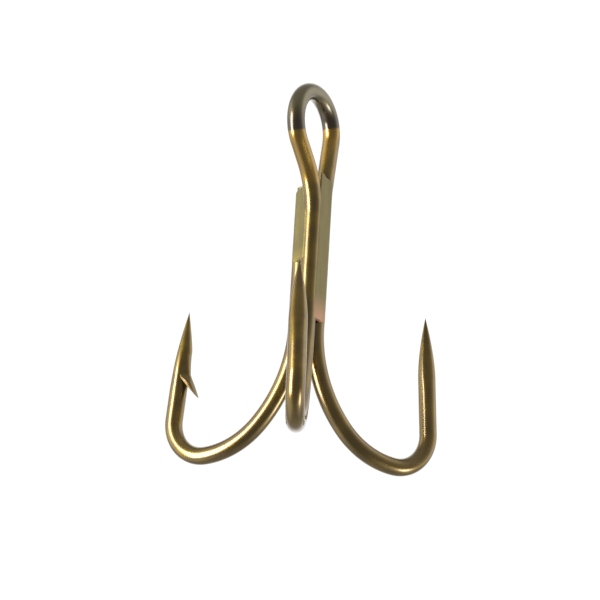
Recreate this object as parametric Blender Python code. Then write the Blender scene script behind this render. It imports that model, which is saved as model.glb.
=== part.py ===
"""Treble fishing hook: a double hook and a single hook bent from round wire, brazed side by side.

Units are metres and +Z is up, along the shank, as the hook hangs from its eye. The origin is the point
inside the top of the eye loop where a ring or a line bears, and the eye lies in the XZ plane. One wire
makes the eye and the two hooks that point to -152 and -30 degrees, seen from above. A second wire makes
the third hook, which points to +90 degrees. Braze metal fills the grooves between the three shanks.
"""

import math

import bmesh
import bpy
from mathutils import Matrix, Vector

# Whole hook
OVERALL_LENGTH = 0.040          # top of the eye to the lowest bend
WIRE_DIAMETER = 0.00188
JOINT_GAP = 0.00005             # clearance where pieces touch: wire to wire, and wire to braze

# Eye loop, bent in the plane of the double wire's two shanks
EYE_INNER_DIAMETER = 0.00566
EYE_SIDE_SET = 0.00181          # how far the shanks stand to +X of the eye's centre
LEFT_NECK = {"straight": 0.0022, "bend": 0.0080}    # straight run below the loop, and the radius
RIGHT_NECK = {"straight": 0.0061, "bend": 0.0020}   # of the bend that brings it to its shank

# Bend: three arcs, as centreline radius and degrees turned, tighter from the shank round to the point
BEND_ARCS = ((0.01450, 43.9), (0.00950, 42.3), (0.00388, 98.2))
POINT_TAPER_LENGTH = 0.0067
POINT_TAPER_POWER = 0.66        # below 1 gives a point with full shoulders
POINT_TIP_RADIUS = 0.00005

# The three hooks, in degrees and metres: where each shank lies round the axis and where its bend points
# seen from above, the length of the straight leg, the leg's sideways set and the barb's turn on the leg
LEFT_HOOK = {"shank": -150, "direction": -152, "leg": 0.01150, "side_set": 1.9, "barb_turn": 0}
RIGHT_HOOK = {"shank": -30, "direction": -30, "leg": 0.01265, "side_set": 0, "barb_turn": 115}
SINGLE_HOOK = {"shank": 90, "direction": 90, "leg": 0.01180, "side_set": 0, "barb_turn": 0}

# Barb: a chip of the leg slit free and bent out, with its places measured from the hook's tip
BARB_START = 0.0046             # where the outer face leaves the wire
BARB_MIDDLE = 0.0069            # where that face turns outwards
BARB_MIDDLE_LIFT = 0.00031
BARB_TIP = 0.00944
BARB_TIP_LIFT = 0.00170         # above the wire's surface
BARB_WIDTH = 0.00090
NOTCH_ROOT = 0.00728
NOTCH_DEPTH = 0.00050           # below the wire's surface
NOTCH_MOUTH = 0.00817           # where the slit's lower face meets the wire's surface

# Braze and the single wire's end, as heights above the start of the bends
BRAZE_GROOVES = (               # name, the shanks on its two sides, lower and upper end
    ("braze_double_groove", (LEFT_HOOK, RIGHT_HOOK), (0.00045, 0.01645)),
    ("braze_left_groove", (SINGLE_HOOK, LEFT_HOOK), (0.00682, 0.01457)),
    ("braze_right_groove", (RIGHT_HOOK, SINGLE_HOOK), (0.00200, 0.01457)),
)
CORE_BRAZE = (0.00250, 0.01400)
SINGLE_WIRE_TOP = 0.01515
SINGLE_WIRE_CHAMFER = 0.00035
BRAZE_SINK = 0.00005            # braze face below the plane that touches both wires
BRAZE_RUN_OUT = 0.00080         # length over which a fillet's ends round off

ARC_STEP = 5.5                  # degrees between points on an arc
WIRE_BEVEL_RESOLUTION = 4
CLEARANCE_BEVEL_RESOLUTION = 14
CORE_BEVEL_RESOLUTION = 2
RUN_OUT_STEPS = 5
SMOOTH_ANGLE = 40
OVERCUT = 0.0010                # how far a cutter runs past what it cuts
WELD_DISTANCE = 0.0000001
TAPER_KNOTS = (0, 0.2, 0.4, 0.6, 0.75, 0.87, 0.95, 1)

BRONZED_STEEL = (0.13, 0.085, 0.035)
BRAZE = (0.42, 0.33, 0.14)

WIRE_RADIUS = WIRE_DIAMETER / 2
WIRE_PITCH = WIRE_DIAMETER + JOINT_GAP
SHANK_OFFSET = WIRE_PITCH / math.sqrt(3)
SHANK_AXIS = Vector((EYE_SIDE_SET, SHANK_OFFSET / 2, 0))
EYE_RADIUS = EYE_INNER_DIAMETER / 2 + WIRE_RADIUS
EYE_CENTRE_Z = -EYE_INNER_DIAMETER / 2


def bend_drop():
    """Return how far the centreline falls from the bend's start to its lowest point."""
    drop, turned = 0, 0
    for radius, degrees in BEND_ARCS:
        end = min(turned + degrees, 90)
        drop += radius * (math.sin(math.radians(end)) - math.sin(math.radians(turned)))
        turned = end
    return drop


BEND_Z = WIRE_DIAMETER - OVERALL_LENGTH + WIRE_RADIUS + bend_drop()


def arc(centre, radius, start, end, steps):
    """Return steps + 1 points on a flat arc, with its angles in radians from the first axis."""
    points = []
    for step in range(steps + 1):
        angle = start + (end - start) * step / steps
        points.append((centre[0] + radius * math.cos(angle), centre[1] + radius * math.sin(angle)))
    return points


def arc_steps(radians):
    """Return how many chords an arc of this turn is drawn with."""
    return max(2, math.ceil(abs(math.degrees(radians)) / ARC_STEP))


def eye_side(side, straight, bend):
    """Return half of the eye, from its shank to the top of the loop, as (x, z) on the side's own +x."""
    neck_x = side * EYE_SIDE_SET + WIRE_PITCH / 2 + bend
    reach = math.hypot(EYE_RADIUS + bend, straight)
    lean = math.atan2(EYE_RADIUS + bend, straight) - math.asin(neck_x / reach)
    neck = (neck_x, EYE_CENTRE_Z - math.sqrt(reach ** 2 - neck_x ** 2))
    points = arc(neck, bend, math.pi, math.pi - lean, arc_steps(lean))
    loop = arc((0, EYE_CENTRE_Z), EYE_RADIUS, -lean, math.pi / 2, arc_steps(lean + math.pi / 2))
    return points + loop


def eye_path():
    """Return the eye's centreline from the left shank over the loop to the right shank."""
    left = [Vector((-x, 0, z)) for x, z in eye_side(-1, **LEFT_NECK)]
    right = [Vector((x, 0, z)) for x, z in eye_side(1, **RIGHT_NECK)]
    return left + right[-2::-1]


def bearing(degrees):
    """Return the level unit vector at this angle from +X, seen from above."""
    return Vector((math.cos(math.radians(degrees)), math.sin(math.radians(degrees)), 0))


def bend_profile():
    """Return the bend's centreline as (out, down) points, with the leg's start and its direction."""
    points, start, turned = [], (0, 0), 0
    for radius, degrees in BEND_ARCS:
        end = turned + math.radians(degrees)
        centre = (start[0] + radius * math.cos(turned), start[1] + radius * math.sin(turned))
        swept = arc(centre, radius, math.pi + turned, math.pi + end, arc_steps(end - turned))
        points += swept[:-1]
        start, turned = swept[-1], end
    return points, start, (math.sin(turned), -math.cos(turned))


class Hook:
    """One hook of the treble: its bend, straight leg and point, in place round the shank."""

    def __init__(self, shank, direction, leg, side_set, barb_turn):
        self.shank = SHANK_AXIS + SHANK_OFFSET * bearing(shank)
        self.outward = bearing(direction)
        self.sideways = bearing(direction - 90)
        self.leg = leg
        self.lean = math.tan(math.radians(side_set))
        self.barb_turn = math.radians(barb_turn)

    def at(self, out, height, run=0):
        """Return the place of a profile point; run is its distance up the leg."""
        lift = Vector((0, 0, BEND_Z + height))
        return self.shank + self.outward * out + self.sideways * (self.lean * run) + lift

    def leg_point(self, run):
        """Return the leg's centreline at a distance up from its start."""
        start, way = bend_profile()[1:]
        return self.at(start[0] + way[0] * run, start[1] + way[1] * run, run)

    def path(self):
        """Return centreline points and wire radii from the start of the bend to the tip."""
        points = [self.at(out, height) for out, height in bend_profile()[0]]
        radii = [WIRE_RADIUS] * len(points)
        runs = [0, (self.leg - POINT_TAPER_LENGTH) / 2]
        runs += [self.leg - POINT_TAPER_LENGTH * (1 - share) for share in TAPER_KNOTS]
        for run in runs:
            share = min((self.leg - run) / POINT_TAPER_LENGTH, 1)
            points.append(self.leg_point(run))
            radii.append(max(WIRE_RADIUS * share ** POINT_TAPER_POWER, POINT_TIP_RADIUS))
        return points, radii

    def leg_frame(self):
        """Return the leg's frame: origin at the tip, +X down the leg and +Y to the barb's side."""
        tip = self.leg_point(self.leg)
        down = (self.leg_point(0) - tip).normalized()
        inward = (-self.outward + self.outward.dot(down) * down).normalized()
        inward = Matrix.Rotation(self.barb_turn, 3, down) @ inward
        frame = Matrix((down, inward, down.cross(inward))).transposed().to_4x4()
        frame.translation = tip
        return frame


def make_material(name, colour, roughness, metallic):
    """Return a Principled material."""
    made = bpy.data.materials.new(name)
    made.use_nodes = True
    shader = made.node_tree.nodes["Principled BSDF"]
    shader.inputs["Base Color"].default_value = (*colour, 1)
    shader.inputs["Roughness"].default_value = roughness
    shader.inputs["Metallic"].default_value = metallic
    made.diffuse_color = (*colour, 1)
    return made


def make_collection(name):
    """Return a new collection in the scene."""
    made = bpy.data.collections.new(name)
    bpy.context.scene.collection.children.link(made)
    return made


def curve_object(name, curve, frame, collection):
    """Put a curve in place and turn it into a welded mesh object."""
    guide = bpy.data.objects.new(name + "_guide", curve)
    guide.matrix_world = frame
    collection.objects.link(guide)
    bpy.context.view_layer.update()
    mesh = bpy.data.meshes.new_from_object(guide.evaluated_get(bpy.context.evaluated_depsgraph_get()))
    mesh.name = name
    weld = bmesh.new()
    weld.from_mesh(mesh)
    bmesh.ops.remove_doubles(weld, verts=weld.verts, dist=WELD_DISTANCE)
    bmesh.ops.recalc_face_normals(weld, faces=weld.faces)
    weld.to_mesh(mesh)
    weld.free()
    solid = bpy.data.objects.new(name, mesh)
    solid.matrix_world = guide.matrix_world
    bpy.data.objects.remove(guide)
    collection.objects.link(solid)
    return solid


def wire_object(name, points, radii, collection, bevel_resolution=WIRE_BEVEL_RESOLUTION):
    """Return a round wire along the points, as a mesh object."""
    curve = bpy.data.curves.new(name + "_path", "CURVE")
    curve.dimensions = "3D"
    curve.bevel_depth = 1
    curve.bevel_resolution = bevel_resolution
    curve.use_fill_caps = True
    spline = curve.splines.new("POLY")
    spline.points.add(len(points) - 1)
    for knot, point, radius in zip(spline.points, points, radii):
        knot.co = (*point, 1)
        knot.radius = radius
    return curve_object(name, curve, Matrix.Identity(4), collection)


def plate_object(name, outline, thickness, frame, collection):
    """Return a flat outline extruded both ways from its frame's XY plane."""
    curve = bpy.data.curves.new(name + "_outline", "CURVE")
    curve.dimensions = "2D"
    curve.fill_mode = "BOTH"
    curve.extrude = thickness / 2
    spline = curve.splines.new("POLY")
    spline.points.add(len(outline) - 1)
    spline.use_cyclic_u = True
    for knot, (x, y) in zip(spline.points, outline):
        knot.co = (x, y, 0, 1)
    return curve_object(name, curve, frame, collection)


def apply_tool(target, tool, operation):
    """Join or cut the target with a tool, which stays as a wire-framed guide."""
    modifier = target.modifiers.new(tool.name, "BOOLEAN")
    modifier.operation = operation
    modifier.solver = "EXACT"
    modifier.object = tool
    tool.hide_render = True
    tool.display_type = "WIRE"


def make_barb(wire, hook, label, tools):
    """Raise a barb on a hook's leg and cut the slit under it."""
    frame = hook.leg_frame()
    root = (NOTCH_ROOT, WIRE_RADIUS - NOTCH_DEPTH)
    mouth = (NOTCH_MOUTH, WIRE_RADIUS)
    tip = (BARB_TIP, WIRE_RADIUS + BARB_TIP_LIFT)
    chip = [
        (BARB_START, root[1]),
        (root[0] + NOTCH_DEPTH / 2, root[1]),
        tip,
        (BARB_MIDDLE, WIRE_RADIUS + BARB_MIDDLE_LIFT),
        (BARB_START, WIRE_RADIUS - NOTCH_DEPTH / 2),
    ]
    reach = 1 + OVERCUT / math.dist(root, tip)
    slit = [
        root,
        (root[0] + reach * (mouth[0] - root[0]) * 2, root[1] + reach * (mouth[1] - root[1]) * 2),
        (root[0] + reach * (tip[0] - root[0]), root[1] + reach * (tip[1] - root[1])),
    ]
    apply_tool(wire, plate_object("barb_" + label, chip, BARB_WIDTH, frame, tools), "UNION")
    slit_width = WIRE_DIAMETER + 2 * OVERCUT
    apply_tool(wire, plate_object("slit_" + label, slit, slit_width, frame, tools), "DIFFERENCE")


def make_double_wire(parts, tools):
    """Make the wire that forms the eye and two of the hooks."""
    left, right = Hook(**LEFT_HOOK), Hook(**RIGHT_HOOK)
    left_points, left_radii = left.path()
    right_points, right_radii = right.path()
    eye = eye_path()
    points = left_points[::-1] + eye + right_points
    radii = left_radii[::-1] + [WIRE_RADIUS] * len(eye) + right_radii
    wire = wire_object("double_hook_wire", points, radii, parts)
    make_barb(wire, left, "left", tools)
    make_barb(wire, right, "right", tools)
    return wire


def make_single_wire(parts, tools):
    """Make the wire of the third hook, with its chamfered end below the eye."""
    hook = Hook(**SINGLE_HOOK)
    bend_points, bend_radii = hook.path()
    points = [hook.at(0, SINGLE_WIRE_TOP), hook.at(0, SINGLE_WIRE_TOP - SINGLE_WIRE_CHAMFER)]
    radii = [WIRE_RADIUS - SINGLE_WIRE_CHAMFER, WIRE_RADIUS]
    wire = wire_object("single_hook_wire", points + bend_points, radii + bend_radii, parts)
    make_barb(wire, hook, "single", tools)
    return wire


def shank_line(hook):
    """Return a hook's centreline from below its bend's start, up its shank and on into the eye."""
    foot = SHANK_AXIS + SHANK_OFFSET * bearing(hook["shank"])
    foot.z = BEND_Z - OVERCUT
    eye = eye_path()
    if hook is LEFT_HOOK:
        return [foot] + eye[:len(eye) // 2]
    if hook is RIGHT_HOOK:
        return [foot] + eye[:len(eye) // 2:-1]
    return [foot, foot + Vector((0, 0, SINGLE_WIRE_TOP + 2 * OVERCUT))]


def groove_frame(out):
    """Return a groove's frame: +X out of the groove, +Y up the shank, on the line between two wires."""
    up = Vector((0, 0, 1))
    frame = Matrix((out, up, out.cross(up))).transposed().to_4x4()
    frame.translation = SHANK_AXIS + out * (SHANK_OFFSET / 2)
    return frame


def make_fillet(name, hooks, span, parts, tools):
    """Make the braze in one groove: a strip with rounded ends, cut back to clear the wires beside it."""
    low, high = BEND_Z + span[0], BEND_Z + span[1]
    face = WIRE_RADIUS - BRAZE_SINK
    run_out = arc((0, 0), 1, 0, math.pi / 2, RUN_OUT_STEPS)
    top = [(face * out, high - BRAZE_RUN_OUT * (1 - up)) for up, out in run_out]
    bottom = [(face * out, low + BRAZE_RUN_OUT * (1 - up)) for up, out in run_out[::-1]]
    outward = sum((bearing(hook["shank"]) for hook in hooks), Vector())
    frame = groove_frame(outward.normalized())
    fillet = plate_object(name, top + bottom, WIRE_PITCH, frame, parts)
    for number, hook in enumerate(hooks, 1):
        points = shank_line(hook)
        radii = [WIRE_RADIUS + JOINT_GAP] * len(points)
        tool_name = f"clearance_{name}_{number}"
        clearance = wire_object(tool_name, points, radii, tools, CLEARANCE_BEVEL_RESOLUTION)
        apply_tool(fillet, clearance, "DIFFERENCE")
    return fillet


def make_core(parts):
    """Make the thread of braze drawn into the space between the three shanks."""
    radius = SHANK_OFFSET - WIRE_RADIUS - JOINT_GAP
    ends = [SHANK_AXIS + Vector((0, 0, BEND_Z + height)) for height in CORE_BRAZE]
    return wire_object("braze_core", ends, [radius, radius], parts, CORE_BEVEL_RESOLUTION)


def finish(part, colour, roughness, metallic, bearing_point):
    """Give a part its own material and smooth shading, and hang it from the eye's bearing point."""
    part.data.materials.append(make_material(part.name + "_finish", colour, roughness, metallic))
    part.data.shade_smooth()
    part.data.set_sharp_from_angle(angle=math.radians(SMOOTH_ANGLE))
    part.parent = bearing_point


def main():
    """Build the treble hook."""
    for old in list(bpy.data.objects):
        bpy.data.objects.remove(old)
    parts = make_collection("treble_hook")
    tools = make_collection("treble_hook_tools")
    bearing_point = bpy.data.objects.new("eye_bearing_point", None)
    parts.objects.link(bearing_point)
    finish(make_double_wire(parts, tools), BRONZED_STEEL, 0.28, 0.9, bearing_point)
    finish(make_single_wire(parts, tools), BRONZED_STEEL, 0.28, 0.9, bearing_point)
    for name, hooks, span in BRAZE_GROOVES:
        finish(make_fillet(name, hooks, span, parts, tools), BRAZE, 0.45, 0.7, bearing_point)
    finish(make_core(parts), BRAZE, 0.45, 0.7, bearing_point)


main()
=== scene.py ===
"""Looks of the treble hook: two bronzed wires bent to barbed hooks and an eye, brazed side by side.

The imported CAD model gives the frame, the origin inside the top of the eye, and the size. Each wire is
rebuilt here as a fine round wire along the same centreline, with ground points and chiselled barbs, and
each groove's braze as a poured fillet that wets the wires beside it.
"""

from __future__ import annotations

import logging
import math
from dataclasses import dataclass
from enum import Enum

import bpy
import numpy as np
from mathutils import Matrix, Vector

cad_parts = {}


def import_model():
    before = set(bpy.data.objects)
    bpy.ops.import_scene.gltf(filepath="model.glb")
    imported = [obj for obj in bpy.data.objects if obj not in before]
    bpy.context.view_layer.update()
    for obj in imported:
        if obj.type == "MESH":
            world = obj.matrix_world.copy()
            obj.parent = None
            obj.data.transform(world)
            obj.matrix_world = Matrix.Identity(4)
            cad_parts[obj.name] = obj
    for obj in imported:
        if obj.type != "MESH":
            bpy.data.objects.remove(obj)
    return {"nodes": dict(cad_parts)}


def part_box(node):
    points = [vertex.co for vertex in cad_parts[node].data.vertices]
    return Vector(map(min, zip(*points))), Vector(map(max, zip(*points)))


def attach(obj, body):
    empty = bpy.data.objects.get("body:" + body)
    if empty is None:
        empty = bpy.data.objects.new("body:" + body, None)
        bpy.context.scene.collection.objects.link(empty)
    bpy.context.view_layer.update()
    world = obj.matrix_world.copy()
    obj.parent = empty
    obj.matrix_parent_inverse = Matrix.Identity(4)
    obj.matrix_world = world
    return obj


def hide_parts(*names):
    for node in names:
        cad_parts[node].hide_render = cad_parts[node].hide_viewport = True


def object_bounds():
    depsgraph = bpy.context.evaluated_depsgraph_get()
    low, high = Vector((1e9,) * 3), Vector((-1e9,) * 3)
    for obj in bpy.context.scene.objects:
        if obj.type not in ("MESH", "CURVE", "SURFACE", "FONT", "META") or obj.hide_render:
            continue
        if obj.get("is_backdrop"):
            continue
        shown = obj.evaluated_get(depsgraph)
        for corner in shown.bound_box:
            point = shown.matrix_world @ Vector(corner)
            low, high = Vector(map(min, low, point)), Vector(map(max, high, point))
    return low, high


LOG = logging.getLogger("treble_hook")
MM = 0.001
BODY = "root"
Points = np.ndarray
Socket = bpy.types.NodeSocket


class Slot(Enum):
    """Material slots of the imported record."""

    WIRE = "bronzed_wire"
    BRAZE = "braze_metal"


# ---------------------------------------------------------------- shapes worked out as arrays


def unit(vectors: Points) -> Points:
    """Return the vectors, along the last axis, divided by their lengths."""
    return vectors / np.linalg.norm(vectors, axis=-1, keepdims=True)


def arc(centre: tuple[float, float], radius: float, start: float, end: float, step: float) -> Points:
    """Return flat points on an arc, both ends among them: centre + radius * (cos a, sin a).

    Args:
        centre: Centre of the arc.
        radius: Radius of the arc.
        start: First angle, in radians.
        end: Last angle, in radians.
        step: Longest distance between two points.

    Returns:
        An array of two columns.
    """
    count = max(4, math.ceil(abs(end - start) * radius / step) + 1)
    angle = np.linspace(start, end, count)
    return np.stack([centre[0] + radius * np.cos(angle), centre[1] + radius * np.sin(angle)], axis=1)


def straight(start: Points, end: Points, step: float) -> Points:
    """Return evenly spaced points on a straight run, both ends among them.

    Args:
        start: First point.
        end: Last point.
        step: Longest distance between two points.

    Returns:
        An array of points.
    """
    count = max(2, math.ceil(float(np.linalg.norm(end - start)) / step) + 1)
    share = np.linspace(0, 1, count)[:, None]
    return start + (end - start) * share


def bearing(degrees: float) -> Points:
    """Return the level unit vector at an angle from +X, seen from above."""
    return np.array([math.cos(math.radians(degrees)), math.sin(math.radians(degrees)), 0])


def smooth_step(value: Points, low: float, high: float) -> Points:
    """Return 3t^2 - 2t^3, with t the value's place from low to high, held between 0 and 1."""
    share = np.clip((value - low) / (high - low), 0, 1)
    return share * share * (3 - 2 * share)


def ripple(value: Points, waves: tuple[tuple[float, float, float], ...]) -> Points:
    """Return a sum of sines of the value, each wave given as its length, height and phase."""
    return sum(height * np.sin(2 * np.pi * value / length + phase) for length, height, phase in waves)


def grid_faces(rows: int, columns: int) -> Points:
    """Return the four-cornered faces of a grid whose columns close into a ring.

    Args:
        rows: Number of rings.
        columns: Number of points in each ring.

    Returns:
        An array of four vertex numbers a face.
    """
    row, column = np.meshgrid(np.arange(rows - 1), np.arange(columns), indexing="ij")
    here, beside = row * columns + column, row * columns + (column + 1) % columns
    return np.stack([here, beside, beside + columns, here + columns], axis=-1).reshape(-1, 4)


def fan_faces(ring: Points, pole: int, turned: bool) -> Points:
    """Return the triangles that close a ring of vertex numbers at a pole.

    Args:
        ring: Vertex numbers round the ring, in order.
        pole: Vertex number of the pole.
        turned: Whether the triangles go round the other way.

    Returns:
        An array with three vertex numbers a row.
    """
    following = np.roll(ring, -1)
    poles = np.full_like(ring, pole)
    corners = [following, ring, poles] if turned else [ring, following, poles]
    return np.stack(corners, axis=-1)


def closed_loft(name: str, rings: Points) -> bpy.types.Mesh:
    """Make a closed mesh from rings of points, with a pole at the middle of each end ring.

    Args:
        name: Name of the mesh.
        rings: Array of rings, points and coordinates; the rings run so that faces point outwards.

    Returns:
        The mesh.
    """
    rows, columns = rings.shape[:2]
    poles = np.stack([rings[0].mean(axis=0), rings[-1].mean(axis=0)])
    places = np.concatenate([rings.reshape(-1, 3), poles])
    numbers = np.arange(rows * columns).reshape(rows, columns)
    faces = grid_faces(rows, columns).tolist()
    faces += fan_faces(numbers[0], rows * columns, True).tolist()
    faces += fan_faces(numbers[-1], rows * columns + 1, False).tolist()
    mesh = bpy.data.meshes.new(name)
    mesh.from_pydata(places.tolist(), [], faces)
    mesh.update()
    return mesh


def add_piece(name: str, mesh: bpy.types.Mesh) -> bpy.types.Object:
    """Put a mesh in the scene as an object at the origin.

    Args:
        name: Name of the object.
        mesh: Mesh that it shows.

    Returns:
        The object.
    """
    piece = bpy.data.objects.new(name, mesh)
    bpy.context.scene.collection.objects.link(piece)
    return piece


def mesh_points(mesh: bpy.types.Mesh) -> Points:
    """Return the mesh's vertex places as an array.

    Args:
        mesh: Mesh to read.

    Returns:
        An array of three columns.
    """
    places = np.empty(len(mesh.vertices) * 3, dtype=np.float32)
    mesh.vertices.foreach_get("co", places)
    return places.reshape(-1, 3).astype(float)


def carve(piece: bpy.types.Object, tools: list[tuple[str, bpy.types.Object]]) -> None:
    """Join or cut a piece with each tool in turn, keep the result as its mesh, and remove the tools.

    Args:
        piece: The piece to change.
        tools: Pairs of a Boolean operation and the object that does it.
    """
    for operation, tool in tools:
        modifier = piece.modifiers.new(tool.name, "BOOLEAN")
        modifier.operation = operation
        modifier.solver = "EXACT"
        modifier.object = tool
    graph = bpy.context.evaluated_depsgraph_get()
    carved = bpy.data.meshes.new_from_object(piece.evaluated_get(graph))
    piece.modifiers.clear()
    piece.data = carved
    for _, tool in tools:
        bpy.data.objects.remove(tool)


def shade(mesh: bpy.types.Mesh, edge_angle: float) -> None:
    """Shade a mesh smooth, apart from edges sharper than an angle in degrees."""
    mesh.shade_smooth()
    mesh.set_sharp_from_angle(angle=math.radians(edge_angle))


# ---------------------------------------------------------------- the wires


@dataclass(frozen=True)
class WireForm:
    """Sizes that both wires share, in metres and degrees."""

    diameter: float = 1.88 * MM
    gap: float = 0.05 * MM
    overall: float = 40.0 * MM
    bend_arcs: tuple[tuple[float, float], ...] = ((14.5 * MM, 43.9), (9.5 * MM, 42.3), (3.88 * MM, 98.2))
    eye_inner: float = 5.66 * MM
    eye_side_set: float = 1.81 * MM
    left_neck: tuple[float, float] = (2.2 * MM, 8.0 * MM)
    right_neck: tuple[float, float] = (6.1 * MM, 2.0 * MM)
    step: float = 0.11 * MM
    sides: int = 56

    @property
    def radius(self) -> float:
        """Wire radius."""
        return self.diameter / 2

    @property
    def pitch(self) -> float:
        """Distance between the centres of two wires side by side."""
        return self.diameter + self.gap

    @property
    def shank_offset(self) -> float:
        """Distance of each shank's centre from the treble's axis."""
        return self.pitch / math.sqrt(3)

    @property
    def axis(self) -> Points:
        """Place of the treble's axis in plan."""
        return np.array([self.eye_side_set, self.shank_offset / 2, 0])

    @property
    def eye_centre(self) -> float:
        """Height of the eye's centre."""
        return -self.eye_inner / 2

    @property
    def bend_start(self) -> float:
        """Height at which the shanks start to bend.

        Returns:
            The height, in metres.
        """
        drop, turned = 0.0, 0.0
        for radius, degrees in self.bend_arcs:
            end = min(turned + degrees, 90)
            drop += radius * (math.sin(math.radians(end)) - math.sin(math.radians(turned)))
            turned = end
        return self.diameter - self.overall + self.radius + drop


@dataclass(frozen=True)
class PointForm:
    """A ground point: the grinding's length and fullness on its barb side, its flanks and its back."""

    inner: tuple[float, float] = (4.2 * MM, 1.15)
    flank: tuple[float, float] = (6.6 * MM, 1.65)
    outer: tuple[float, float] = (9.0 * MM, 1.48)
    tip_radius: float = 0.012 * MM

    def narrowing(self, to_tip: Points, facing: Points) -> Points:
        """Return the share of the wire's radius that grinding leaves.

        On each side the share is 1 - (1 - s / L)^q at a distance s from the tip, and the three sides
        are mixed by the squared cosine of the angle between a direction and that side.

        Args:
            to_tip: Distance of each place from the tip.
            facing: Cosine of the angle between each direction and the barb's side.

        Returns:
            The shares, in the common shape of both.
        """
        weights = (np.clip(facing, 0, 1) ** 2, 1 - facing**2, np.clip(-facing, 0, 1) ** 2)
        sides = (self.inner, self.flank, self.outer)
        return sum(
            weight * (1 - (1 - np.clip(to_tip / length, 0, 1)) ** power)
            for weight, (length, power) in zip(weights, sides)
        )


@dataclass(frozen=True)
class BarbForm:
    """A barb: a chip of the leg, slit free and bent out. Places are distances from the hook's tip."""

    start: float = 4.0 * MM
    kink: float = 6.9 * MM
    kink_lift: float = 0.31 * MM
    hollow: float = 1.9
    root: float = 7.28 * MM
    depth: float = 0.50 * MM
    mouth: float = 8.17 * MM
    mouth_reach: float = 2.2
    tip: float = 9.44 * MM
    lift: float = 1.70 * MM
    swell: float = 0.55 * MM
    least_reach: float = 0.995
    buried: float = 0.02 * MM
    spare: float = 0.12 * MM
    over: float = 0.8 * MM
    rows: int = 64
    columns: int = 22


@dataclass(frozen=True)
class HookForm:
    """One hook: its shank's place round the axis and its bend's direction, both seen from above in
    degrees, its straight leg, the leg's side set and its barb's turn.
    """

    shank: float
    direction: float
    leg: float
    side_set: float
    barb_turn: float


class Hook:
    """One hook of the treble in place: its centreline, wire radii and leg frame."""

    def __init__(self, wire: WireForm, form: HookForm, point: PointForm) -> None:
        """Place the hook round the treble's axis.

        Args:
            wire: Sizes of the wire.
            form: Sizes of this hook.
            point: Sizes of its point.
        """
        self.wire, self.form, self.point = wire, form, point
        self.shank = wire.axis + bearing(form.shank) * wire.shank_offset
        self.outward = bearing(form.direction)
        self.sideways = bearing(form.direction - 90)
        self.lean = math.tan(math.radians(form.side_set))

    def place(self, flat: Points, run: Points | float = 0.0) -> Points:
        """Return flat (out, up) points in space, moved sideways by the lean of the leg at each run.

        Args:
            flat: Points in two columns, out and up from the bend's start.
            run: Each point's distance down the leg from the bend's end, or 0 on the bend.

        Returns:
            An array of three columns.
        """
        up = np.array([0, 0, 1.0])
        side = np.broadcast_to(self.lean * np.asarray(run), flat.shape[:1])
        base = self.shank + up * self.wire.bend_start
        return base + flat[:, :1] * self.outward + side[:, None] * self.sideways + flat[:, 1:] * up

    def bend(self) -> tuple[Points, Points]:
        """Return the bend as (out, up) points, arc after arc, and the direction of the leg after it.

        Each arc's centre lies on the last point's normal, so the arcs meet without a corner.

        Returns:
            The points, in two columns, and a direction of length 1.
        """
        start, turned, runs = np.zeros(2), 0.0, []
        for radius, degrees in self.wire.bend_arcs:
            end = turned + math.radians(degrees)
            centre = start + radius * np.array([math.cos(turned), math.sin(turned)])
            swept = arc(tuple(centre), radius, math.pi + turned, math.pi + end, self.wire.step)
            runs.append(swept[:-1])
            start, turned = swept[-1], end
        runs.append(start[None])
        return np.concatenate(runs), np.array([math.sin(turned), -math.cos(turned)])

    def path(self) -> tuple[Points, Points]:
        """Return centreline points from the bend's start to the tip, and each one's way to the tip.

        Returns:
            The points, in three columns, and the distances, which are infinite on the bend.
        """
        bend, way = self.bend()
        end = bend[-1] + way * self.form.leg
        leg = straight(bend[-1], end, self.wire.step)[1:]
        run = np.linalg.norm(leg - bend[-1], axis=1)
        places = np.concatenate([self.place(bend), self.place(leg, run)])
        return places, np.concatenate([np.full(len(bend), np.inf), self.form.leg - run])

    def leg_frame(self) -> tuple[Points, Points]:
        """Return the leg's tip and its axes: down the leg, to the barb's side, and across.

        Returns:
            The tip, and an array with an axis in each row.
        """
        bend, way = self.bend()
        low = self.place(bend[-1:])[0]
        tip = self.place((bend[-1] + way * self.form.leg)[None], self.form.leg)[0]
        down = unit(low - tip)
        inward = Vector(unit(-self.outward + self.outward.dot(down) * down))
        inward.rotate(Matrix.Rotation(math.radians(self.form.barb_turn), 3, Vector(down)))
        side = np.array(inward)
        return tip, np.stack([down, side, np.cross(down, side)])


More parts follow.
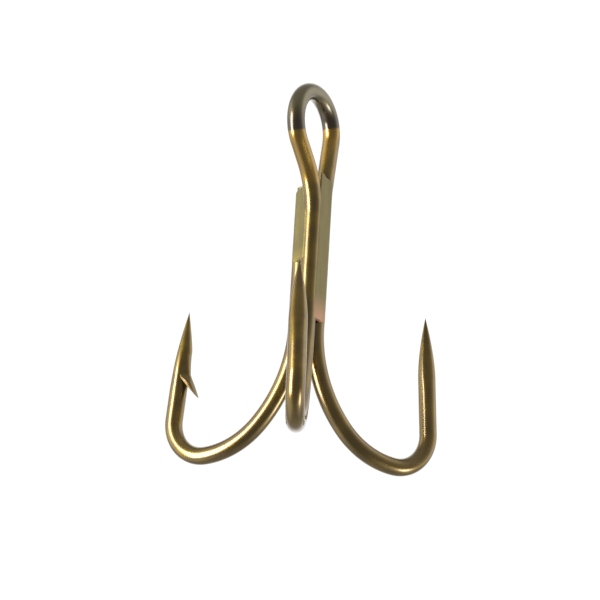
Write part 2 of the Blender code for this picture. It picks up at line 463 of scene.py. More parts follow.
class Barb:
    """A barb and the slit under it, in a hook's leg frame: along from the tip, out and across."""

    def __init__(self, hook: Hook, form: BarbForm) -> None:
        """Take the leg frame from the hook."""
        self.form, self.radius, self.point = form, hook.wire.radius, hook.point
        self.tip, self.axes = hook.leg_frame()

    def in_space(self, along: Points, out: Points, across: Points) -> Points:
        """Return places in the row frame for coordinates in the leg frame."""
        flat = np.stack(np.broadcast_arrays(along, out, across), axis=-1)
        return self.tip + flat @ self.axes

    def cut_line(self, along: Points) -> Points:
        """Return how far out the chip's flat underside is: a straight line from the root to the tip.

        Args:
            along: Distances down the leg from the hook's tip.

        Returns:
            Distances from the leg's middle, in the same shape.
        """
        form = self.form
        share = (along - form.root) / (form.tip - form.root)
        root = self.radius - form.depth
        return root + share * (self.radius + form.lift - root)

    def raised(self, along: Points) -> Points:
        """Return how far the chip's round back is bent out: as a power up to the kink, then straight.

        Args:
            along: Distances down the leg from the hook's tip.

        Returns:
            Distances outwards, in the same shape.
        """
        form = self.form
        eased = np.clip((along - form.start) / (form.kink - form.start), 0, 1) ** form.hollow
        beyond = np.clip((along - form.kink) / (form.tip - form.kink), 0, None)
        hollow = (form.kink_lift + form.buried) * eased - form.buried
        return hollow + (form.lift - form.kink_lift) * beyond

    def chip(self, name: str) -> bpy.types.Object:
        """Make the chip: at each station the outer segment of the ground wire's section, bent out.

        The segment reaches round to the angle whose cosine is the chord's height over the wire's radius,
        and the chord rises evenly from the slit's root to the tip. Before the root the segment swells,
        by the squared cosine of its place round the wire, and past the root all of it is lifted alike.
        It is made thicker inside than the finished chip, and the slit trims it.

        Args:
            name: Name of the object.

        Returns:
            The chip, as an object.
        """
        form = self.form
        along = np.linspace(form.start, form.tip + form.spare, form.rows)[:, None]
        lift = self.raised(along)
        root = self.radius - form.depth
        freed = np.clip((along - form.root) / (form.tip - form.root), 0, 1)
        chord = (root + (self.radius - root) * freed) / self.radius
        reach = np.arccos(np.clip(chord, 0, form.least_reach))
        place = np.linspace(-1, 1, form.columns)[None]
        angle = place * reach
        loose = smooth_step(along, form.root - form.swell, form.root + form.swell)
        lifted = lift * (loose + (1 - loose) * np.cos(np.pi / 2 * place) ** 2)
        section = self.radius * self.point.narrowing(along, np.cos(angle)) - form.buried / 2
        arch, over = section * np.cos(angle) + lifted, section * np.sin(angle)
        base = np.broadcast_to(np.maximum(self.cut_line(along), root) - form.spare, over.shape)
        across = np.concatenate([over, over[:, -2:0:-1]], axis=1)
        out = np.concatenate([arch, base[:, -2:0:-1]], axis=1)
        rings = self.in_space(np.broadcast_to(along, across.shape), out, across)
        return add_piece(name, outward_mesh(name, rings))

    def slit(self, name: str) -> bpy.types.Object:
        """Make the wedge that the chisel cuts: its edge at the root, its faces through mouth and tip.

        Args:
            name: Name of the object.

        Returns:
            The wedge, as an object.
        """
        form = self.form
        root = np.array([form.root, self.radius - form.depth])
        mouth = np.array([form.mouth, self.radius]) - root
        under = np.array([form.tip, self.radius + form.lift]) - root
        reach = 1 + form.over / float(np.linalg.norm(under))
        corners = root + np.stack([np.zeros(2), form.mouth_reach * reach * mouth, reach * under])
        wide = self.radius + form.over
        rings = np.stack([self.in_space(corners[:, 0], corners[:, 1], side) for side in (-wide, wide)])
        return add_piece(name, outward_mesh(name, rings))


def outward_mesh(name: str, rings: Points) -> bpy.types.Mesh:
    """Make a closed loft and turn its rings round if its faces would point inwards.

    The signed volume of the closed mesh, a sum of dot products, says which way the faces point.

    Args:
        name: Name of the mesh.
        rings: Rings of points, in order along the loft.

    Returns:
        The mesh.
    """
    mesh = closed_loft(name, rings)
    places = mesh_points(mesh)
    mesh.calc_loop_triangles()
    corners = np.empty(len(mesh.loop_triangles) * 3, dtype=np.int32)
    mesh.loop_triangles.foreach_get("vertices", corners)
    a, b, c = places[corners.reshape(-1, 3)].transpose(1, 0, 2)
    if np.einsum("ij,ij->", a, np.cross(b, c)) < 0:
        bpy.data.meshes.remove(mesh)
        mesh = closed_loft(name, rings[:, ::-1])
    return mesh


@dataclass
class WireRun:
    """A wire's centreline as arrays: its points, radii, side directions and what the grinding needs."""

    points: Points
    radii: Points
    sides: Points
    to_tip: Points
    barb_sides: Points

    def axes(self) -> tuple[Points, Points, Points]:
        """Return each point's tangent, the side direction squared up to it, and their cross product.

        Returns:
            Three arrays of three columns, with a row for each point.
        """
        tangent = unit(np.gradient(self.points, axis=0))
        first = unit(self.sides - np.sum(self.sides * tangent, axis=1, keepdims=True) * tangent)
        return tangent, first, np.cross(tangent, first)

    def rings(self, point: PointForm, columns: int) -> Points:
        """Return rings round the centreline: point + r * (cos a * side + sin a * (tangent x side)).

        The radius r is the wire's, times the share that grinding leaves in that direction.

        Args:
            point: Sizes of the ground point.
            columns: Number of points round each ring.

        Returns:
            An array of rings, of points and of their three coordinates.
        """
        _, first, second = self.axes()
        angle = np.linspace(0, 2 * np.pi, columns, endpoint=False)[None, :, None]
        spokes = np.cos(angle) * first[:, None] + np.sin(angle) * second[:, None]
        facing = np.einsum("ijk,ik->ij", spokes, self.barb_sides)
        radii = self.radii[:, None] * point.narrowing(self.to_tip[:, None], facing)
        return self.points[:, None] + np.maximum(radii, point.tip_radius)[..., None] * spokes

    def store(self, mesh: bpy.types.Mesh) -> None:
        """Store on each vertex its distance along the wire and its direction round it.

        The attribute "run" holds (distance in metres, cos a, sin a) of the nearest centreline point,
        so that marks made by drawing and lacquering follow the wire round its bends.

        Args:
            mesh: Mesh of this wire.
        """
        places = mesh_points(mesh)
        tangent, first, second = self.axes()
        steps = np.linalg.norm(np.diff(self.points, axis=0), axis=1)
        length = np.concatenate([[0], np.cumsum(steps)])
        squares = (self.points**2).sum(axis=1)
        nearest = np.argmin(squares[None] - 2 * places @ self.points.T, axis=1)
        away = places - self.points[nearest]
        along = length[nearest] + np.sum(away * tangent[nearest], axis=1)
        off = unit(away + 1e-9)
        cosine = np.sum(off * first[nearest], axis=1)
        sine = np.sum(off * second[nearest], axis=1)
        run = mesh.attributes.new("run", "FLOAT_VECTOR", "POINT")
        values = np.stack([along, cosine, sine], axis=1).astype(np.float32)
        run.data.foreach_set("vector", values.ravel())


class BentWire:
    """A length of round wire on a centreline, with points ground at its ends and barbs cut in it."""

    name = "wire"
    node = "wire"

    def __init__(self, wire: WireForm, point: PointForm, barb: BarbForm) -> None:
        """Keep the shared sizes."""
        self.wire, self.point, self.barb = wire, point, barb

    def hooks(self) -> list[Hook]:
        """Return the hooks on this wire."""
        raise NotImplementedError

    def run(self) -> WireRun:
        """Return the wire's centreline with all that its rings are made from."""
        raise NotImplementedError

    def build(self) -> bpy.types.Object:
        """Make the wire, raise its barbs, and let it stand for its CAD node.

        Returns:
            The wire, as an object.
        """
        run = self.run()
        piece = add_piece(self.name, outward_mesh(self.name, run.rings(self.point, self.wire.sides)))
        tools = []
        for number, hook in enumerate(self.hooks()):
            barb = Barb(hook, self.barb)
            tools.append(("UNION", barb.chip(f"{self.name}_chip_{number}")))
            tools.append(("DIFFERENCE", barb.slit(f"{self.name}_slit_{number}")))
        carve(piece, tools)
        run.store(piece.data)
        shade(piece.data, 34)
        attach(piece, BODY)
        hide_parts(self.node)
        LOG.info("%s: %d vertices", piece.name, len(piece.data.vertices))
        return piece


class DoubleHookWire(BentWire):
    """The wire that forms the eye, two shanks and two hooks."""

    name = "double_wire"
    node = "double_hook_wire"
    left_form = HookForm(shank=-150, direction=-152, leg=11.50 * MM, side_set=1.9, barb_turn=0)
    right_form = HookForm(shank=-30, direction=-30, leg=12.65 * MM, side_set=0, barb_turn=115)

    def hooks(self) -> list[Hook]:
        """Return the left and the right hook."""
        forms = (self.left_form, self.right_form)
        return [Hook(self.wire, form, self.point) for form in forms]

    def eye_half(self, side: int, straight_run: float, bend: float) -> Points:
        """Return half of the eye, shank to top, as (out, up) points on the side's own outward axis.

        A straight leg touches both the neck's arc and the eye's circle, so the distance between their
        centres is the hypotenuse of the sum of their radii and the leg. The leg leans by the angle
        across from that sum, less the asin of the neck's own distance to the side.

        Args:
            side: -1 for the left half, 1 for the right half.
            straight_run: Length of the straight leg.
            bend: Radius of the neck's bend.

        Returns:
            An array of two columns.
        """
        wire = self.wire
        eye_radius = wire.eye_inner / 2 + wire.radius
        neck_x = side * wire.eye_side_set + wire.pitch / 2 + bend
        reach = math.hypot(eye_radius + bend, straight_run)
        lean = math.atan2(eye_radius + bend, straight_run) - math.asin(neck_x / reach)
        neck = (neck_x, wire.eye_centre - math.sqrt(reach**2 - neck_x**2))
        bent = arc(neck, bend, math.pi, math.pi - lean, wire.step)
        loop = arc((0, wire.eye_centre), eye_radius, -lean, math.pi / 2, wire.step)
        leg = straight(bent[-1], loop[0], wire.step)
        return np.concatenate([bent, leg[1:-1], loop])

    def eye(self) -> Points:
        """Return the eye's centreline from the left shank over the loop to the right shank.

        Returns:
            An array of three columns.
        """
        left = self.eye_half(-1, *self.wire.left_neck) * [-1, 1]
        right = self.eye_half(1, *self.wire.right_neck)
        flat = np.concatenate([left, right[-2::-1]])
        return np.stack([flat[:, 0], np.zeros(len(flat)), flat[:, 1]], axis=1)

    def run(self) -> WireRun:
        """Return the run from the left tip round the eye to the right tip.

        The side directions turn evenly along the shanks from each hook's plane to the eye's.

        Returns:
            The run.
        """
        left, right = self.hooks()
        left_path, left_to_tip = left.path()
        right_path, right_to_tip = right.path()
        eye = self.eye()
        left_shank = straight(left_path[0], eye[0], self.wire.step)[1:-1]
        right_shank = straight(eye[-1], right_path[0], self.wire.step)[1:-1]
        points = np.concatenate([left_path[::-1], left_shank, eye, right_shank, right_path])
        plain = np.full(len(points) - len(left_path) - len(right_path), np.inf)
        back = np.array([0, 1.0, 0])
        left_turn = np.linspace(0, 1, len(left_shank))[:, None]
        right_turn = np.linspace(0, 1, len(right_shank))[:, None]
        sides = [
            np.tile(left.sideways, (len(left_path), 1)),
            unit(left.sideways * (1 - left_turn) + back * left_turn),
            np.tile(back, (len(eye), 1)),
            unit(back * (1 - right_turn) - right.sideways * right_turn),
            np.tile(-right.sideways, (len(right_path), 1)),
        ]
        half = len(left_path) + len(plain) // 2
        barb_sides = np.repeat(
            [left.leg_frame()[1][1], right.leg_frame()[1][1]], [half, len(points) - half], axis=0
        )
        to_tip = np.concatenate([left_to_tip[::-1], plain, right_to_tip])
        radii = np.full(len(points), self.wire.radius)
        return WireRun(points, radii, np.concatenate(sides), to_tip, barb_sides)


class SingleHookWire(BentWire):
    """The wire of the third hook, whose cut end sits in the braze below the eye."""

    name = "single_wire"
    node = "single_hook_wire"
    form = HookForm(shank=90, direction=90, leg=11.80 * MM, side_set=0, barb_turn=0)
    top = 15.15 * MM
    end_round = 0.42 * MM
    end_flat = 0.45

    def hooks(self) -> list[Hook]:
        """Return the one hook."""
        return [Hook(self.wire, self.form, self.point)]

    def run(self) -> WireRun:
        """Return the run from the cut end down to the tip.

        The cut end narrows as a quarter ellipse from the full radius to a flat of end_flat times it.

        Returns:
            The run.
        """
        hook = self.hooks()[0]
        path, path_to_tip = hook.path()
        share = np.linspace(0, 1, 12) ** 2
        end = path[0] + np.array([0, 0, 1.0]) * (self.top - self.end_round * share)[:, None]
        rounded = self.end_flat + (1 - self.end_flat) * np.sqrt(1 - (1 - share) ** 2)
        shank = straight(end[-1], path[0], self.wire.step)[1:-1]
        points = np.concatenate([end, shank, path])
        full = np.full(len(points) - len(end), self.wire.radius)
        radii = np.concatenate([self.wire.radius * rounded, full])
        plain = np.full(len(points) - len(path), np.inf)
        barb_side = hook.leg_frame()[1][1]
        return WireRun(
            points,
            radii,
            np.tile(hook.sideways, (len(points), 1)),
            np.concatenate([plain, path_to_tip]),
            np.tile(barb_side, (len(points), 1)),
        )


# ---------------------------------------------------------------- the braze


@dataclass(frozen=True)
class FilletForm:
    """One groove's braze: where it faces, its span above the bend's start, and how it wets the wires."""

    name: str
    node: str
    direction: float
    low: float
    high: float
    wet_before: float
    wet_after: float
    slant: float = 0.0
    phase: float = 0.0
    skin: float = 0.020 * MM
    skin_power: float = 0.6
    sunk: float = 0.9
    sag: float = 0.035 * MM
    run_out: float = 0.3 * MM
    under: float = 0.11 * MM
    groove_turn: float = 72
    ripple: float = 0.02
    columns: int = 26
    step: float = 0.09 * MM


class BrazeFillet:
    """The braze in the groove between two shanks, wetting each of them a little way round."""

    def __init__(self, wire: WireForm, form: FilletForm) -> None:
        """Keep the wire's sizes and the fillet's own."""
        self.wire, self.form = wire, form

    def face(self) -> tuple[Points, Points]:
        """Return the section's outer curve and the curve under it, as (across, out) points.

        The outer curve follows the first wire at radius + skin up to its tangent, crosses to the second
        wire on a slightly hollow line, and follows that wire. The skin sinks below the wires at both edges.
        The curve under it stays inside the wires and dips between them to the bottom of the groove.

        Returns:
            Two arrays of two columns.
        """
        form, half = self.form, self.wire.pitch / 2
        share = np.linspace(0, 1, form.columns)
        before = np.radians(-form.wet_before * (1 - share))
        after = np.radians(form.wet_after * share)
        skin_before = form.skin * ((1 + form.sunk) * share**form.skin_power - form.sunk)
        skin_after = form.skin * ((1 + form.sunk) * (1 - share) ** form.skin_power - form.sunk)
        level = self.wire.radius + form.skin
        flat = np.linspace(-half, half, form.columns)
        first = self.around(-half, before, self.wire.radius + skin_before)
        middle = np.stack([flat, level - form.sag * (1 - (flat / half) ** 2)], axis=1)
        last = self.around(half, after, self.wire.radius + skin_after)
        outer = np.concatenate([first[:-1], middle, last[1:]])
        buried = self.wire.radius - form.under
        into = np.radians(form.groove_turn * share)
        runs = ((-half, before), (-half, into), (half, into - into[-1]), (half, after))
        below = np.concatenate([self.around(centre, angle, buried) for centre, angle in runs])
        place = np.linspace(0, 1, len(outer))
        source = np.linspace(0, 1, len(below))
        inner = np.stack([np.interp(place, source, below[:, axis]) for axis in (0, 1)], axis=1)
        return outer, inner

    @staticmethod
    def around(centre: float, angle: Points, radius: Points | float) -> Points:
        """Return (across, out) points on a wire's section, with the angle from straight out."""
        return np.stack([centre + radius * np.sin(angle), radius * np.cos(angle)], axis=1)

    def build(self) -> bpy.types.Object:
        """Make the fillet: sections up the groove that shrink to its bottom as quarter ellipses.

        Returns:
            The fillet, as an object.
        """
        form = self.form
        outer, inner = self.face()
        low, high = self.wire.bend_start + form.low, self.wire.bend_start + form.high
        rows = math.ceil((high - low) / form.step)
        height = low + (high - low) * (1 - np.cos(np.linspace(0, np.pi, rows))) / 2
        slope = form.slant * outer[None, :, 0]
        top = np.clip((high - height[:, None] + slope) / form.run_out, 0.001, 1)
        bottom = np.clip((height[:, None] - low) / form.run_out, 0.001, 1)
        filled = np.sqrt(1 - (1 - top) ** 2) * np.sqrt(1 - (1 - bottom) ** 2)
        waves = ((3.1 * MM, 0.5, form.phase), (1.3 * MM, 0.35, 2 * form.phase), (0.7 * MM, 0.2, 1.0))
        wave = 1 + form.ripple * ripple(height, waves)[:, None] * np.ones_like(filled)
        rise = np.clip(filled * wave, 0.001, None)[..., None]
        section = inner[None] + (outer - inner)[None] * rise
        out, across = bearing(form.direction), bearing(form.direction + 90)
        base = self.wire.axis + out * self.wire.shank_offset / 2
        lower = np.broadcast_to(inner[None, ::-1], section.shape)
        ring = np.concatenate([section, lower[:, 1:-1]], axis=1)
        rings = base + ring[..., :1] * across + ring[..., 1:] * out
        rings = rings + height[:, None, None] * np.array([0, 0, 1.0])
        piece = add_piece(form.name, outward_mesh(form.name, rings))
        shade(piece.data, 50)
        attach(piece, BODY)
        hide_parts(form.node)
        LOG.info("%s: %d vertices", piece.name, len(piece.data.vertices))
        return piece


# ---------------------------------------------------------------- finishes


class Graph:
    """A node tree with short ways to add nodes and link them."""

    def __init__(self, tree: bpy.types.NodeTree) -> None:
        """Keep the tree."""
        self.tree = tree

    def add(self, kind: str, links: dict | None = None, **settings: object) -> bpy.types.Node:
        """Add a node, set its properties, and feed its inputs by name or number.

        Args:
            kind: The node's type.
            links: Input name or number to a socket to link, or to a value to set.
            **settings: The node's own properties.

        Returns:
            The node.
        """
        node = self.tree.nodes.new(kind)
        for key, value in settings.items():
            setattr(node, key, value)
        for key, value in (links or {}).items():
            if isinstance(value, Socket):
                self.tree.links.new(value, node.inputs[key])
            else:
                node.inputs[key].default_value = value
        return node

    def math(self, operation: str, *values: object) -> Socket:
        """Add a Math node on numbers or sockets and return its value."""
        links = dict(enumerate(values))
        return self.add("ShaderNodeMath", links, operation=operation).outputs[0]

    def ramp(self, value: Socket, low: float, high: float) -> Socket:
        """Return the value's smooth place between low and high, from 0 to 1.

        Args:
            value: Value to place.
            low: Value that gives 0.
            high: Value that gives 1.

        Returns:
            The socket of the result.
        """
        links = {"Value": value, "From Min": low, "From Max": high}
        node = self.add("ShaderNodeMapRange", links, interpolation_type="SMOOTHSTEP")
        return node.outputs["Result"]

    def dot(self, way: Socket, axis: Vector) -> Socket:
        """Return the dot product of a vector socket and a fixed axis."""
        links = {0: way, 1: tuple(axis)}
        return self.add("ShaderNodeVectorMath", links, operation="DOT_PRODUCT").outputs["Value"]

    def blend(self, share: object, first: object, second: object) -> Socket:
        """Return a mix of two colours, the second by the share."""
        links = {"Factor": share, 6: first, 7: second}
        return self.add("ShaderNodeMix", links, data_type="RGBA").outputs[2]


def new_group(name: str, inputs: dict[str, tuple[str, float]], outputs: dict[str, str]) -> Graph:
    """Make a shader node group with named sockets.

    Args:
        name: Name of the group.
        inputs: Socket name to its kind and default value.
        outputs: Socket name to its kind.

    Returns:
        The group's graph, with its input and output nodes as the first two nodes.
    """
    tree = bpy.data.node_groups.new(name, "ShaderNodeTree")
    for label, (kind, value) in inputs.items():
        made = tree.interface.new_socket(name=label, in_out="INPUT", socket_type=kind)
        if kind == "NodeSocketFloat":
            made.default_value = value
    for label, kind in outputs.items():
        tree.interface.new_socket(name=label, in_out="OUTPUT", socket_type=kind)
    tree.nodes.new("NodeGroupInput")
    tree.nodes.new("NodeGroupOutput")
    return Graph(tree)


def scaled(graph: Graph, vector: Socket, scale: tuple[float, float, float]) -> Socket:
    """Return a vector multiplied part by part."""
    links = {0: vector, 1: scale}
    return graph.add("ShaderNodeVectorMath", links, operation="MULTIPLY").outputs[0]


def drawn_wire_group() -> bpy.types.NodeTree:
    """Make the group for marks that drawing leaves on wire: lines along it and a few pits.

    The lines are noise stretched along the wire, and the pits are the cores of a few scattered cells.

    Returns:
        The node group.
    """
    inputs = {
        "Run": ("NodeSocketVector", 0), "Place": ("NodeSocketVector", 0), "Fine": ("NodeSocketFloat", 5)
    }
    outputs = {"Lines": "NodeSocketFloat", "Pits": "NodeSocketFloat", "Cloud": "NodeSocketFloat"}
    graph = new_group("drawn_wire_marks", inputs, outputs)
    source, sink = graph.tree.nodes[0], graph.tree.nodes[1]
    combed = scaled(graph, source.outputs["Run"], (25, 1, 1))
    lines = graph.add(
        "ShaderNodeTexNoise", {"Vector": combed, "Scale": source.outputs["Fine"], "Detail": 1.0}
    )
    cells = graph.add("ShaderNodeTexVoronoi", {"Vector": source.outputs["Place"], "Scale": 1500.0})
    chance = graph.math("GREATER_THAN", cells.outputs["Color"], 0.8)
    core = graph.math("SUBTRACT", 1.0, graph.ramp(cells.outputs["Distance"], 0.03, 0.16))
    clouded = {"Vector": source.outputs["Place"], "Scale": 420.0, "Detail": 4.0}
    cloud = graph.add("ShaderNodeTexNoise", clouded)
    graph.tree.links.new(lines.outputs["Fac"], sink.inputs["Lines"])
    graph.tree.links.new(graph.math("MULTIPLY", core, chance), sink.inputs["Pits"])
    graph.tree.links.new(cloud.outputs["Fac"], sink.inputs["Cloud"])
    return graph.tree


@dataclass(frozen=True)
class LacquerBronze:
    """Translucent bronze lacquer on drawn wire: colours, gloss, tint zones and strength of marks."""

    name: str
    brown: tuple[float, float, float] = (0.23, 0.138, 0.009)
    olive: tuple[float, float, float] = (0.33, 0.205, 0.012)
    amber: tuple[float, float, float] = (0.50, 0.285, 0.020)
    umber: tuple[float, float, float] = (0.085, 0.055, 0.018)
    smoke: tuple[float, float, float] = (0.21, 0.165, 0.060)
    fleck: tuple[float, float, float] = (0.05, 0.035, 0.02)
    metallic: float = 1.0
    roughness: float = 0.34
    coat_roughness: float = 0.13
    pit_bump: float = 0.05
    crown_plane: tuple[float, float] = (0.379, -3.1 * MM)
    amber_plane: tuple[float, float] = (2.5, -12.0 * MM)
    amber_down_to: float = -9.3 * MM
    zone_edge: float = 0.18 * MM

    def tint(self, graph: Graph, place: Socket, cloud: Socket) -> Socket:
        """Return the lacquer's colour: cloudy brown and olive, amber below the loop, smoky round it.

        Each zone ends at a plane where z = slope * x + level.

        Args:
            graph: Graph that the nodes are added to.
            place: Place on the object.
            cloud: Share of olive, from 0 to 1.

        Returns:
            The socket of the colour.
        """
        axes = graph.add("ShaderNodeSeparateXYZ", {0: place})
        height = axes.outputs["Z"]
        colour = graph.blend(cloud, (*self.brown, 1), (*self.olive, 1))
        slope, level = self.amber_plane
        over = graph.math("MULTIPLY_ADD", axes.outputs["X"], -slope, height)
        right = graph.ramp(over, level - 0.5 * MM, level + 0.5 * MM)
        left = graph.ramp(height, self.amber_down_to - 0.4 * MM, self.amber_down_to + 0.4 * MM)
        colour = graph.blend(graph.math("MULTIPLY", left, right), colour, (*self.amber, 1))
        slope, level = self.crown_plane
        over = graph.math("MULTIPLY_ADD", axes.outputs["X"], -slope, height)
        loop = graph.ramp(over, level + 0.8 * MM, level + 3 * MM)
        dark = graph.blend(loop, (*self.umber, 1), (*self.smoke, 1))
        crown = graph.ramp(over, level - self.zone_edge, level + self.zone_edge)
        return graph.blend(crown, colour, dark)

    def material(self, marks: bpy.types.NodeTree) -> bpy.types.Material:
        """Make the material from the tint, the marks of drawing and a glossy clear coat.

        Args:
            marks: Node group of the marks that drawing leaves.

        Returns:
            The material.
        """
        made = bpy.data.materials.new(self.name)
        made.use_nodes = True
        graph = Graph(made.node_tree)
        shader = made.node_tree.nodes["Principled BSDF"]
        run = graph.add("ShaderNodeAttribute", attribute_name="run").outputs["Vector"]
        place = graph.add("ShaderNodeTexCoord").outputs["Object"]
        detail = graph.add("ShaderNodeGroup", {"Run": run, "Place": place}, node_tree=marks)
        cloud = graph.ramp(detail.outputs["Cloud"], 0.35, 0.68)
        colour = self.tint(graph, place, cloud)
        flecks = graph.math("MULTIPLY", detail.outputs["Pits"], 0.6)
        colour = graph.blend(flecks, colour, (*self.fleck, 1))
        graph.tree.links.new(colour, shader.inputs["Base Color"])
        rough = graph.math("MULTIPLY_ADD", detail.outputs["Lines"], 0.12, self.roughness - 0.06)
        graph.tree.links.new(rough, shader.inputs["Roughness"])
        height = graph.math("SUBTRACT", 1.0, detail.outputs["Pits"])
        bump = graph.add(
            "ShaderNodeBump", {"Strength": self.pit_bump, "Distance": 0.02 * MM, "Height": height}
        )
        graph.tree.links.new(bump.outputs["Normal"], shader.inputs["Normal"])
        shader.inputs["Metallic"].default_value = self.metallic
        shader.inputs["Coat Weight"].default_value = 1.0
        shader.inputs["Coat Roughness"].default_value = self.coat_roughness
        shader.inputs["Coat IOR"].default_value = 1.85
        return made


@dataclass(frozen=True)
class PouredBraze:
    """Braze as it ran: dull, streaked, olive under the lacquer, another colour at its lower end."""

    tone: tuple[float, float, float] = (0.23, 0.185, 0.065)
    pale: tuple[float, float, float] = (0.34, 0.28, 0.105)
    lower_end: tuple[float, float, float] = (0.62, 0.35, 0.20)
    end_reach: float = 3.4 * MM
    roughness: float = 0.45

    def material(self, name: str, low: float) -> bpy.types.Material:
        """Make the material for a fillet whose lower end is at the height low.

        Args:
            name: Name of the material.
            low: Height of the fillet's lower end.

        Returns:
            The material.
        """
        made = bpy.data.materials.new(name)
        made.use_nodes = True
        graph = Graph(made.node_tree)
        shader = made.node_tree.nodes["Principled BSDF"]
        place = graph.add("ShaderNodeTexCoord").outputs["Object"]
        height = graph.add("ShaderNodeSeparateXYZ", {0: place}).outputs["Z"]
        drawn = scaled(graph, place, (1, 1, 0.25))
        mottle = graph.add("ShaderNodeTexNoise", {"Vector": drawn, "Scale": 700.0, "Detail": 4.0})
        grain = graph.add("ShaderNodeTexNoise", {"Vector": place, "Scale": 5200.0, "Detail": 3.0})
        streak = graph.ramp(mottle.outputs["Fac"], 0.25, 0.9)
        colour = graph.blend(streak, (*self.tone, 1), (*self.pale, 1))
        lower = graph.math("SUBTRACT", 1.0, graph.ramp(height, low, low + self.end_reach))
        colour = graph.blend(lower, colour, (*self.lower_end, 1))
        graph.tree.links.new(colour, shader.inputs["Base Color"])
        rough = graph.math("MULTIPLY_ADD", mottle.outputs["Fac"], 0.2, self.roughness - 0.1)
        graph.tree.links.new(rough, shader.inputs["Roughness"])
        rise = graph.math("MULTIPLY_ADD", grain.outputs["Fac"], 0.15, mottle.outputs["Fac"])
        bump = graph.add("ShaderNodeBump", {"Strength": 0.3, "Distance": 0.05 * MM, "Height": rise})
        graph.tree.links.new(bump.outputs["Normal"], shader.inputs["Normal"])
        shader.inputs["Metallic"].default_value = 1.0
        shader.inputs["Coat Weight"].default_value = 0.35
        shader.inputs["Coat Roughness"].default_value = 0.25
        return made


# ---------------------------------------------------------------- the studio


@dataclass(frozen=True)
class SoftBox:
    """A soft rectangular light far away: its middle's direction, half sizes, soft edge and brightness.

    The direction is degrees across and up from the camera's own, and the sizes are in degrees too.
    """

    name: str
    across: float
    up: float
    half_width: float
    half_height: float
    soft: float
    brightness: float
    colour: tuple[float, float, float] = (1, 1, 1)


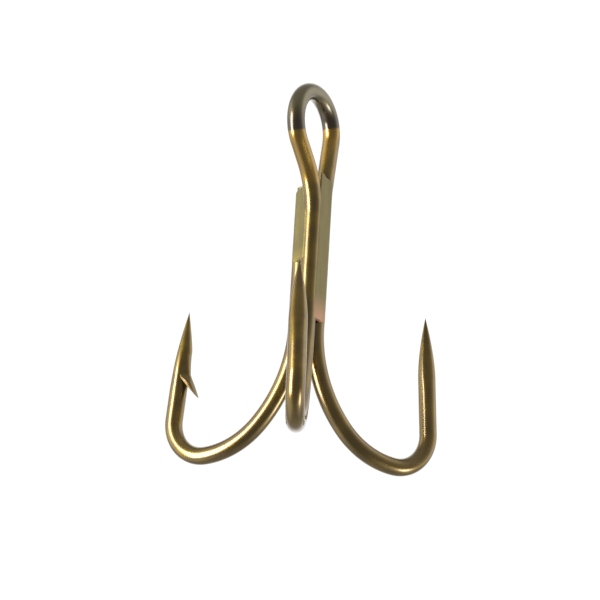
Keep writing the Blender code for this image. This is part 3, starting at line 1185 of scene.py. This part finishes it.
@dataclass
class Studio:
    """Camera, soft lights, pale surround and floor round the hanging hook."""

    azimuth: float = -59.11
    elevation: float = -16.85
    roll: float = 3.49
    distance: float = 236.33 * MM
    aim: tuple[float, float, float] = (1.35 * MM, 1.22 * MM, -21.38 * MM)
    half_view: float = 31.16 * MM
    sensor: float = 36.0
    floor_drop: float = 0.16
    floor_size: float = 6.0
    dim: float = 0.17
    beside: float = 0.16
    behind: float = 0.75
    seen_white: float = 1.05
    boxes: tuple[SoftBox, ...] = (
        SoftBox("key_light", -60, 8, 13, 24, 6, 9.5),
        SoftBox("side_light", -98, 22, 16, 30, 12, 0.8),
        SoftBox("fill_light", 105, 20, 20, 30, 14, 0.7),
        SoftBox("low_light", 60, -38, 7, 9, 8, 8.0),
        SoftBox("left_under_light", -64, -48, 26, 18, 16, 0.45),
        SoftBox("right_under_light", 54, -50, 24, 16, 14, 0.4),
    )

    def back(self, azimuth: float, elevation: float) -> Vector:
        """Return the direction from the hook towards a place at an azimuth and elevation."""
        a, e = math.radians(azimuth), math.radians(elevation)
        return Vector((math.sin(a) * math.cos(e), -math.cos(a) * math.cos(e), math.sin(e)))

    def turn(self) -> Matrix:
        """Return the camera's rotation: its columns point right, up and back towards the camera.

        Returns:
            The rotation, as a matrix of three rows.
        """
        towards = self.back(self.azimuth, self.elevation)
        level = (-towards).to_track_quat("-Z", "Y").to_matrix()
        return Matrix.Rotation(math.radians(self.roll), 3, towards) @ level

    def camera(self) -> None:
        """Make the camera: a long lens looking up a little at the hook, slightly rolled."""
        data = bpy.data.cameras.new("camera")
        data.sensor_width = self.sensor
        data.lens = self.sensor * self.distance / (2 * self.half_view)
        data.clip_start, data.clip_end = 1 * MM, 50.0
        data.dof.use_dof = False
        camera = bpy.data.objects.new("camera", data)
        towards = self.back(self.azimuth, self.elevation)
        camera.location = Vector(self.aim) + towards * self.distance
        camera.rotation_euler = self.turn().to_euler()
        bpy.context.scene.collection.objects.link(camera)
        bpy.context.scene.camera = camera

    def box_glow(self, graph: Graph, way: Socket, box: SoftBox) -> Socket:
        """Return a soft box's brightness in the direction way: full inside its sides, fading past them.

        The place on the box is the tangent of the angle from its middle, across and up.

        Args:
            graph: Graph that the nodes are added to.
            way: Direction looked in.
            box: The soft box.

        Returns:
            The socket of the brightness.
        """
        angle = math.hypot(box.across, box.up)
        spread = math.sin(math.radians(angle)) / angle
        facing = Vector((box.across * spread, box.up * spread, math.cos(math.radians(angle))))
        side = Vector((0, 1, 0)).cross(facing).normalized()
        turn = self.turn()
        middle, right, up = (turn @ axis for axis in (facing, side, facing.cross(side)))
        depth = graph.dot(way, middle)
        glow = graph.math("GREATER_THAN", depth, 0.05)
        for axis, half in ((right, box.half_width), (up, box.half_height)):
            place = graph.math("ABSOLUTE", graph.math("DIVIDE", graph.dot(way, axis), depth))
            far, near = (math.tan(math.radians(half + sign * box.soft)) for sign in (1, -1))
            glow = graph.math("MULTIPLY", glow, graph.ramp(place, far, near))
        return graph.math("MULTIPLY", glow, box.brightness)

    def surround(self) -> None:
        """Make the world: a dim room with soft boxes on the camera's side, pale behind the hook."""
        world = bpy.data.worlds.new("surround")
        bpy.context.scene.world = world
        world.use_nodes = True
        graph = Graph(world.node_tree)
        backdrop = world.node_tree.nodes["Background"]
        way = graph.add("ShaderNodeTexCoord").outputs["Generated"]
        facing = graph.dot(way, self.turn() @ Vector((0, 0, 1)))
        glow = graph.math("MULTIPLY_ADD", graph.ramp(facing, 0.8, 0.25), self.beside, self.dim)
        glow = graph.math("MULTIPLY_ADD", graph.ramp(facing, -0.6, -0.95), self.behind, glow)
        for box in self.boxes:
            glow = graph.math("ADD", glow, self.box_glow(graph, way, box))
        path = graph.add("ShaderNodeLightPath").outputs["Is Camera Ray"]
        unseen = graph.math("MULTIPLY", glow, graph.math("SUBTRACT", 1.0, path))
        shown = graph.math("MULTIPLY_ADD", path, self.seen_white, unseen)
        graph.tree.links.new(shown, backdrop.inputs["Color"])
        backdrop.inputs["Strength"].default_value = 1.0

    def floor(self, lowest: float) -> None:
        """Make a plain pale floor well below the hanging hook.

        Args:
            lowest: Height of the hook's lowest point.
        """
        half, height = self.floor_size / 2, lowest - self.floor_drop
        plan = ((-half, -half), (half, -half), (half, half), (-half, half))
        corners = [(x, y, height) for x, y in plan]
        mesh = bpy.data.meshes.new("floor")
        mesh.from_pydata(corners, [], [(0, 1, 2, 3)])
        floor = add_piece("floor", mesh)
        floor.visible_glossy = False
        material = bpy.data.materials.new("floor_paint")
        material.use_nodes = True
        shader = material.node_tree.nodes["Principled BSDF"]
        shader.inputs["Base Color"].default_value = (0.86, 0.86, 0.85, 1)
        shader.inputs["Roughness"].default_value = 0.9
        mesh.materials.append(material)
        floor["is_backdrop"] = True

    def floor_light(self) -> None:
        """Make a wide light overhead that lights the floor and casts the hook's soft shadow."""
        data = bpy.data.lights.new("floor_light", "AREA")
        data.size, data.energy = 0.6, 14.0
        light = bpy.data.objects.new("floor_light", data)
        light.location = Vector(self.aim) + Vector((0, 0, 0.8))
        light.visible_glossy = False
        bpy.context.scene.collection.objects.link(light)

    def build(self, lowest: float) -> None:
        """Make the whole studio round a hook that reaches down to the height lowest.

        Args:
            lowest: Height of the hook's lowest point.
        """
        self.camera()
        self.surround()
        self.floor(lowest)
        self.floor_light()
        bpy.context.scene.view_settings.view_transform = "Standard"
        bpy.context.scene.cycles.use_denoising = True


# Braze for the left fillet, which faces the key light: a paler copy of the braze colours, whose lighter
# tone and streaks are painted light; its gold lower end is a colour of the braze itself.
KEY_LIT_BRAZE = PouredBraze(
    tone=(0.34, 0.285, 0.105), pale=(0.46, 0.38, 0.14), lower_end=(0.60, 0.46, 0.13), end_reach=2 * MM
)
COPPERY_BRAZE = PouredBraze()
FILLETS = (
    (
        FilletForm("braze_front", "braze_double_groove", -90, 0.45 * MM, 16.45 * MM, 12, 62, -0.25, 0.4),
        COPPERY_BRAZE,
    ),
    (
        FilletForm("braze_left", "braze_left_groove", 150, 6.82 * MM, 15.3 * MM, 96, 12, 0.3, 2.1),
        KEY_LIT_BRAZE,
    ),
    (
        FilletForm("braze_right", "braze_right_groove", 30, 2.0 * MM, 14.57 * MM, 14, 14, 0, 4.0),
        COPPERY_BRAZE,
    ),
)


def main() -> None:
    """Build the hook's pieces in order, dress them, and set up the studio."""
    logging.basicConfig(level=logging.INFO, format="%(name)s: %(message)s")
    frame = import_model()
    cad_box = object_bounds()
    wire, point, barb = WireForm(), PointForm(), BarbForm()
    lacquer = LacquerBronze("bronze_lacquer").material(drawn_wire_group())
    for form in (DoubleHookWire, SingleHookWire):
        form(wire, point, barb).build().data.materials.append(lacquer)
    for form, braze in FILLETS:
        finish = braze.material(form.name + "_finish", wire.bend_start + form.low)
        BrazeFillet(wire, form).build().data.materials.append(finish)
    core = frame["nodes"]["braze_core"]
    core.data.materials.clear()
    core.data.materials.append(COPPERY_BRAZE.material("braze_core_finish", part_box("braze_core")[0][2]))
    Studio().build(cad_box[0][2])


if __name__ == "__main__":
    main()
